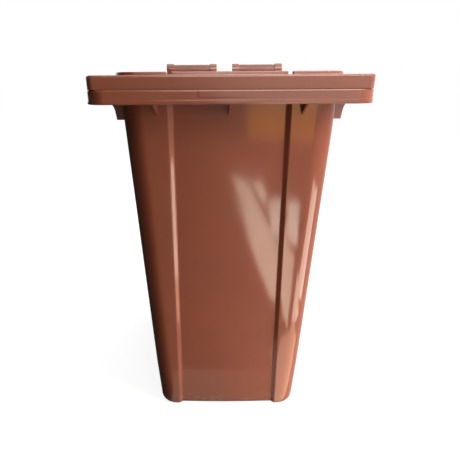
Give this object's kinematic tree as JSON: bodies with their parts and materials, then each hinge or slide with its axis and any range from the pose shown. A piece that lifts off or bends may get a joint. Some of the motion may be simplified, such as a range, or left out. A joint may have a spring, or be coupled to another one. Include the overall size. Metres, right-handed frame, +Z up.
{
  "type": "wheelie bin",
  "caption": "Tall two-wheeled refuse bin with a tapered brown plastic body, comb rim, hinged lid, rear handle bars, steel axle and rubber-tyred wheels.",
  "frame": {"origin": "on the ground, in the middle of the bin's bounding box", "axes": "+Z up, -Y towards the bin's front, +X to the right when looking at the front"},
  "size_m": [0.59, 0.7225, 1.027],
  "materials": {
    "bin_plastic": "semi-gloss moulded polyethylene",
    "lid_plastic": "semi-gloss moulded polyethylene, slightly duller than the body",
    "pin_plastic": "satin moulded plastic",
    "grip_plastic": "knurled, matt",
    "black_plastic": "satin moulded plastic",
    "wheel_plastic": "satin moulded plastic",
    "bush_nylon": "natural nylon, smooth",
    "rubber": "moulded rubber, matt",
    "steel": "zinc plated"
  },
  "bodies": {
    "bin": {"bin_body": "bin_plastic", "hinge_pin_centre": "pin_plastic", "hinge_pin_right": "pin_plastic", "hinge_pin_left": "pin_plastic", "handle_bar_right": "grip_plastic", "handle_bar_left": "grip_plastic", "chip_nest_plug": "black_plastic", "axle": "steel", "spacer_sleeve_right": "black_plastic", "spacer_sleeve_left": "black_plastic", "axle_washer_right": "steel", "axle_washer_left": "steel", "axle_clip_right": "steel", "axle_clip_left": "steel"},
    "lid": {"lid": "lid_plastic"},
    "wheel_right": {"tyre_right": "rubber", "wheel_hub_right": "wheel_plastic", "hub_bush_right": "bush_nylon", "hub_cap_right": "black_plastic"},
    "wheel_left": {"tyre_left": "rubber", "wheel_hub_left": "wheel_plastic", "hub_bush_left": "bush_nylon", "hub_cap_left": "black_plastic"}
  },
  "joints": [
    {"name": "lid_hinge", "type": "hinge", "parent": "bin", "child": "lid", "pos_m": [0, 0.346, 0.983], "axis": [-1, 0, 0], "range_deg": [0, 270]},
    {"name": "wheel_right_spin", "type": "hinge", "parent": "bin", "child": "wheel_right", "pos_m": [0.263, 0.253, 0.1], "axis": [1, 0, 0], "continuous": true},
    {"name": "wheel_left_spin", "type": "hinge", "parent": "bin", "child": "wheel_left", "pos_m": [-0.263, 0.253, 0.1], "axis": [1, 0, 0], "continuous": true}
  ]
}
